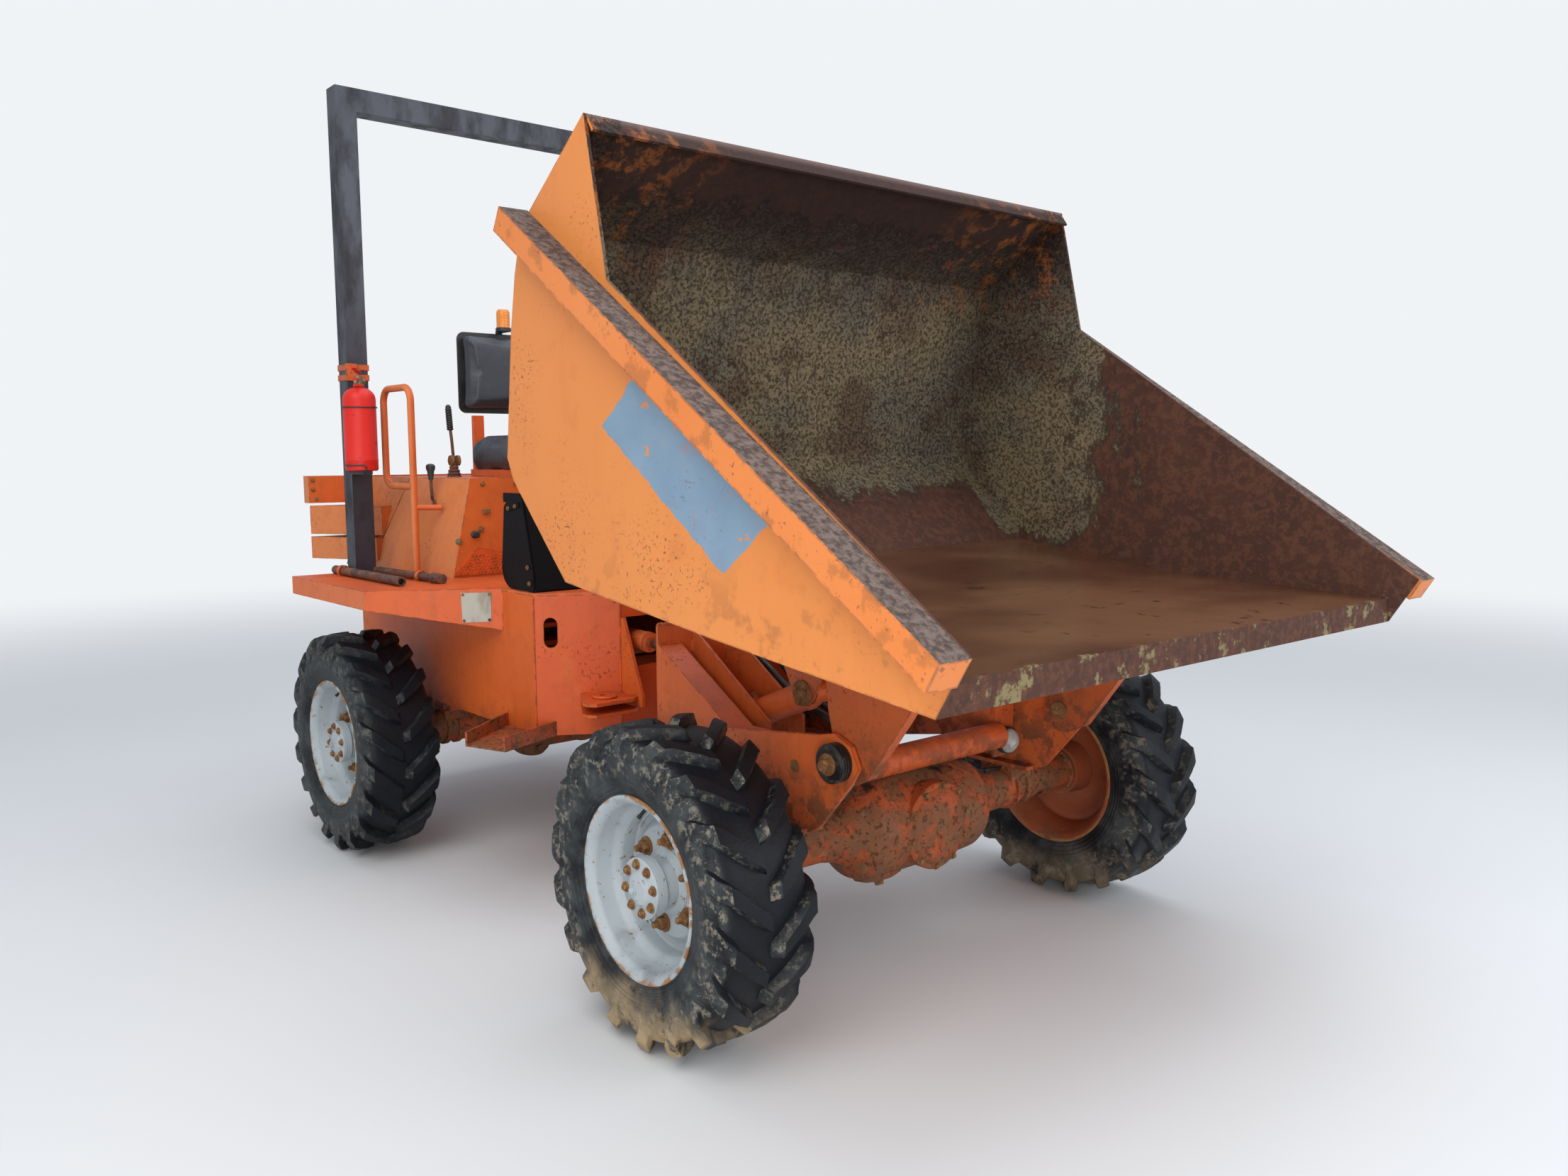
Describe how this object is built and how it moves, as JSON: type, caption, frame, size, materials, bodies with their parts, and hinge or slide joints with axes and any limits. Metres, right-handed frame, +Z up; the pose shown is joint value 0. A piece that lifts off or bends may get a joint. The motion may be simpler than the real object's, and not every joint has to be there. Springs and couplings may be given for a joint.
{
  "type": "site dumper",
  "caption": "Articulated open site dumper with a forward-tipping skip, rear engine, driver's seat under a roll bar and lugged tyres.",
  "frame": {"origin": "ground level on the centre plane, midway along the overall length", "axes": "+X forward, +Z up, the machine's right-hand side towards -Y"},
  "size_m": [3.583, 1.902, 2.669],
  "materials": {
    "orange": "worn satin",
    "skip_orange": "worn satin",
    "dark_steel": "worn satin",
    "rim_grey": "worn satin",
    "tyre": "matt",
    "axle_cast": "rusty",
    "steel": "greasy",
    "rusty_steel": "rusty",
    "rubber": "matt",
    "black_leather": "worn",
    "red": "satin",
    "chrome_rod": "polished",
    "clear_lens": "clear",
    "black_plastic": "satin"
  },
  "bodies": {
    "rear_frame_body": {"counterweight": "orange", "dash_panel": "orange", "deck_plate": "orange", "engine_block": "dark_steel", "fenders": "orange", "fire_extinguisher": "red", "footsteps": "rusty_steel", "grab_rails": "orange", "hand_levers": "black_plastic", "lock_bar": "rusty_steel", "rear_axle": "axle_cast", "rear_frame": "orange", "rear_frame_pins": "steel", "roll_bar": "dark_steel", "rubber_flaps": "rubber", "seat_backrest": "black_leather", "seat_box": "orange", "seat_cushion": "black_leather", "seat_frame": "orange", "steering_column": "orange", "steering_wheel": "dark_steel"},
    "front_frame": {"front_axle": "axle_cast", "front_chassis": "orange", "front_ram_pins": "steel", "headlamps": "clear_lens", "skip_pivot_pins": "steel"},
    "skip": {"skip_brackets": "orange", "skip_rim_flanges": "skip_orange", "skip_shell": "skip_orange", "tip_ram_top_pins": "steel"},
    "tip_barrels": {"tip_ram_barrels": "orange"},
    "tip_rods": {"tip_ram_rods": "chrome_rod", "tip_ram_base_pins": "steel"},
    "steer_barrel": {"steer_ram_barrel": "orange"},
    "steer_rod": {"steer_ram_rod": "chrome_rod"},
    "hood": {"engine_hood": "orange", "rear_light_bar": "orange"},
    "wheel_set_front_right": {"tyre_front_right": "tyre", "wheel_front_right": "rim_grey"},
    "wheel_set_front_left": {"tyre_front_left": "tyre", "wheel_front_left": "rim_grey"},
    "wheel_set_rear_right": {"tyre_rear_right": "tyre", "wheel_rear_right": "rim_grey"},
    "wheel_set_rear_left": {"tyre_rear_left": "tyre", "wheel_rear_left": "rim_grey"}
  },
  "joints": [
    {"name": "steer", "type": "hinge", "parent": "rear_frame_body", "child": "front_frame", "pos_m": [0.0965, 0, 0.675], "axis": [0, 0, 1], "range_deg": [-30, 30]},
    {"name": "tip", "type": "hinge", "parent": "front_frame", "child": "skip", "pos_m": [1.0285, 0, 0.647], "axis": [0, 1, 0], "range_deg": [-22, 40]},
    {"name": "tip_ram_swing", "type": "hinge", "parent": "skip", "child": "tip_barrels", "pos_m": [0.6935, 0, 0.737], "axis": [0, 1, 0], "range_deg": [-56.06, 30.83]},
    {"name": "tip_ram_slide", "type": "slide", "parent": "tip_barrels", "child": "tip_rods", "axis": [-0.9231, 0, -0.3845], "range_m": [-0.0883, 0.1606]},
    {"name": "steer_ram_swing", "type": "hinge", "parent": "rear_frame_body", "child": "steer_barrel", "pos_m": [-0.4915, -0.19, 0.78], "axis": [0, 0, 1], "range_deg": [-3.92, 3.92]},
    {"name": "steer_ram_slide", "type": "slide", "parent": "steer_barrel", "child": "steer_rod", "axis": [0.9958, -0.0919, 0], "range_m": [-0.1277, 0.1277]},
    {"name": "hood_hinge", "type": "hinge", "parent": "rear_frame_body", "child": "hood", "pos_m": [-1.7055, 0, 0.958], "axis": [0, -1, 0], "range_deg": [0, 65]},
    {"name": "roll_front_right", "type": "hinge", "parent": "front_frame", "child": "wheel_set_front_right", "pos_m": [0.8085, -0.77, 0.38], "axis": [0, 1, 0], "continuous": true},
    {"name": "roll_front_left", "type": "hinge", "parent": "front_frame", "child": "wheel_set_front_left", "pos_m": [0.8085, 0.77, 0.38], "axis": [0, 1, 0], "continuous": true},
    {"name": "roll_rear_right", "type": "hinge", "parent": "rear_frame_body", "child": "wheel_set_rear_right", "pos_m": [-1.0775, -0.77, 0.38], "axis": [0, 1, 0], "continuous": true},
    {"name": "roll_rear_left", "type": "hinge", "parent": "rear_frame_body", "child": "wheel_set_rear_left", "pos_m": [-1.0775, 0.77, 0.38], "axis": [0, 1, 0], "continuous": true}
  ],
  "couplings": [
    {"joint": "tip_ram_swing", "follows": "tip", "ratio": -1.374},
    {"joint": "tip_ram_slide", "follows": "tip", "m_per_rad": 0.2255},
    {"joint": "steer_ram_swing", "follows": "steer", "ratio": 0.128},
    {"joint": "steer_ram_slide", "follows": "steer", "m_per_rad": 0.2391}
  ]
}
